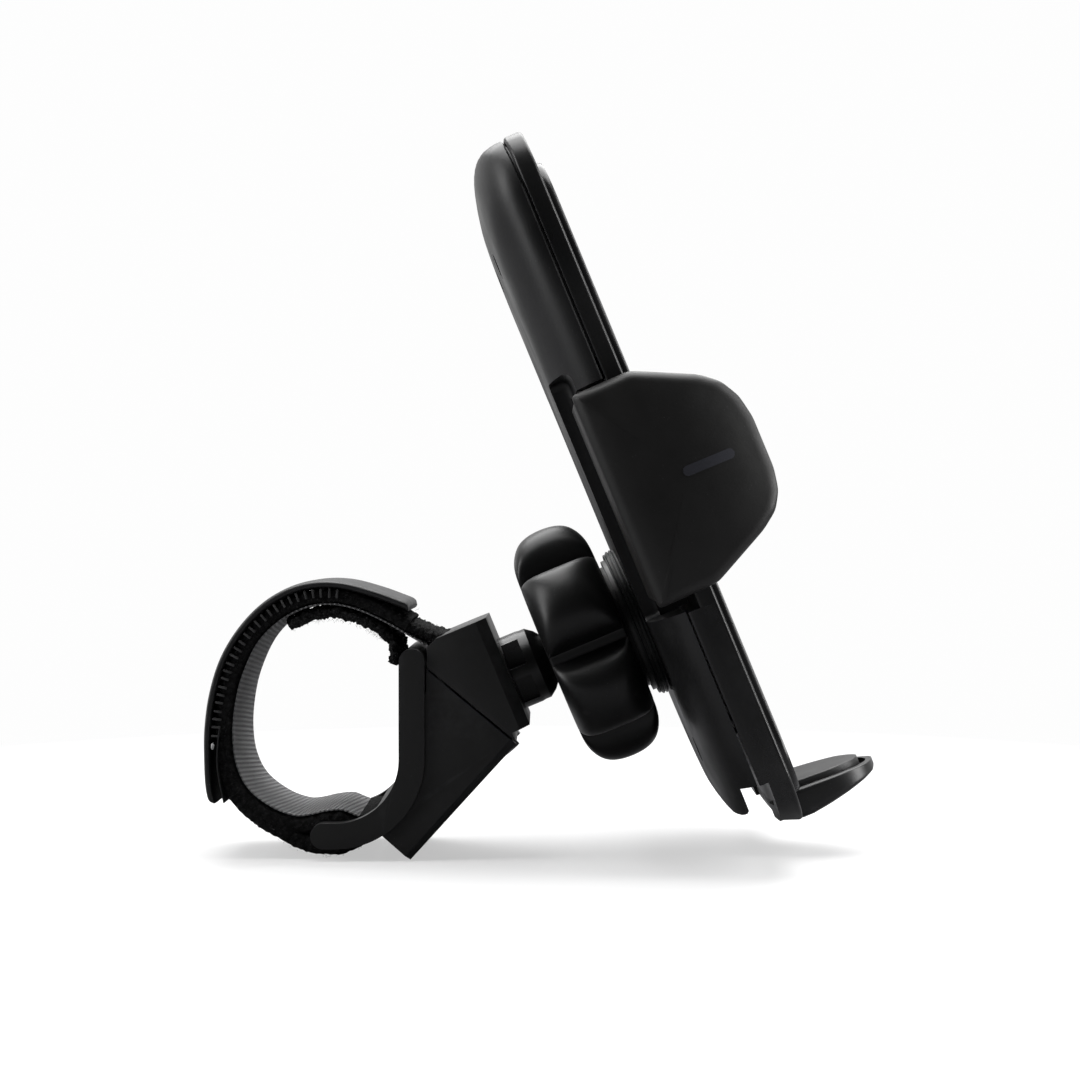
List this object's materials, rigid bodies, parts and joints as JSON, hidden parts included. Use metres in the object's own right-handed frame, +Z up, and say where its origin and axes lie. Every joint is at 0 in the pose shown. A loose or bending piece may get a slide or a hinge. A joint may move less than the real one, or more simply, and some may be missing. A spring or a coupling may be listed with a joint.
{
  "type": "phone handlebar mount",
  "caption": "Strap-on handlebar phone holder: saddle bracket, ball joint with lobed lock nut, and a tilted cradle whose side arms open on a rack and pinion.",
  "frame": {"origin": "on the handlebar's axis, at the middle of the strap", "axes": "+Y along the handlebar, +X towards the rider, +Z up; the cradle's face leans back 22.5 degrees"},
  "size_m": [0.1041, 0.0712, 0.1095],
  "materials": {
    "bracket_plastic": "fine matte",
    "ball_plastic": "satin",
    "nut_plastic": "satin, slightly worn",
    "shell_plastic": "fine satin",
    "panel_plastic": "satin",
    "cell_silicon": "smooth",
    "mark_plastic": "matte",
    "pad_rubber": "matte",
    "cover_rubber": "matte",
    "webbing_grey": "woven",
    "webbing_black": "napped",
    "liner_nylon": "smooth",
    "steel": "zinc plated",
    "brass": "machined",
    "board": "solder mask",
    "cell_foil": "foil"
  },
  "bodies": {
    "base": {"saddle_bracket": "bracket_plastic", "wedge_block": "bracket_plastic", "wedge_cap": "bracket_plastic", "ball_stud": "ball_plastic", "stud_screw": "steel", "cap_screws": "steel", "strap_pin": "steel", "strap_inner_leg": "webbing_grey", "strap_outer_leg": "webbing_black", "hook_tape": "webbing_black", "strap_cover": "cover_rubber", "pile_tail": "webbing_black"},
    "liner": {"ball_liner": "liner_nylon"},
    "seat": {"seat_pad": "pad_rubber"},
    "cradle": {"ball_socket": "ball_plastic", "socket_clip": "steel", "rear_shell": "shell_plastic", "front_frame": "shell_plastic", "front_panel": "panel_plastic", "solar_cell": "cell_silicon", "foot_pad": "pad_rubber", "case_gasket": "pad_rubber", "case_screws": "steel", "battery": "cell_foil", "circuit_board": "board", "charge_port": "steel", "motor": "steel", "gearbox": "liner_nylon", "pinion_axle": "steel"},
    "ring": {"thrust_ring": "liner_nylon"},
    "nut": {"lock_nut": "nut_plastic"},
    "pinion": {"pinion_gear": "liner_nylon"},
    "drive": {"drive_gear": "brass", "motor_shaft": "steel"},
    "carriage_left": {"arm_left": "shell_plastic", "arm_pad_left": "pad_rubber", "arm_mark_left": "mark_plastic", "rack_left": "liner_nylon", "rack_screws_left": "steel"},
    "carriage_right": {"arm_right": "shell_plastic", "arm_pad_right": "pad_rubber", "arm_mark_right": "mark_plastic", "rack_right": "liner_nylon", "rack_screws_right": "steel"}
  },
  "joints": [
    {"name": "swing_direction", "type": "hinge", "parent": "base", "child": "liner", "pos_m": [0.0425, 0, 0.0133], "axis": [0.9239, 0, 0.3827], "continuous": true},
    {"name": "ball_tilt", "type": "hinge", "parent": "liner", "child": "seat", "pos_m": [0.0425, 0, 0.0133], "axis": [0, 1, 0], "range_deg": [-15, 15]},
    {"name": "cradle_spin", "type": "hinge", "parent": "seat", "child": "cradle", "pos_m": [0.0425, 0, 0.0133], "axis": [0.9239, 0, 0.3827], "continuous": true},
    {"name": "nut_slide", "type": "slide", "parent": "cradle", "child": "ring", "axis": [-0.9239, 0, -0.3827], "range_m": [0, 0.0015]},
    {"name": "nut_turn", "type": "hinge", "parent": "ring", "child": "nut", "pos_m": [0.0425, 0, 0.0133], "axis": [-0.9239, 0, -0.3827], "range_deg": [0, 270]},
    {"name": "arm_left_slide", "type": "slide", "parent": "cradle", "child": "carriage_left", "axis": [0, -1, 0], "range_m": [-0.002, 0.01]},
    {"name": "arm_right_slide", "type": "slide", "parent": "cradle", "child": "carriage_right", "axis": [0, 1, 0], "range_m": [-0.002, 0.01]},
    {"name": "pinion_spin", "type": "hinge", "parent": "cradle", "child": "pinion", "pos_m": [0.03523, 0, 0.03085], "axis": [0.9239, 0, 0.3827], "range_deg": [-25, 110]},
    {"name": "drive_spin", "type": "hinge", "parent": "cradle", "child": "drive", "pos_m": [0.03102, 0, 0.04102], "axis": [0.9239, 0, 0.3827], "range_deg": [-290, 60]}
  ],
  "couplings": [
    {"joint": "nut_turn", "follows": "nut_slide", "rad_per_m": 3141.6},
    {"joint": "arm_right_slide", "follows": "arm_left_slide", "ratio": 1},
    {"joint": "pinion_spin", "follows": "arm_left_slide", "rad_per_m": 178.57},
    {"joint": "drive_spin", "follows": "arm_left_slide", "rad_per_m": -476.19}
  ]
}
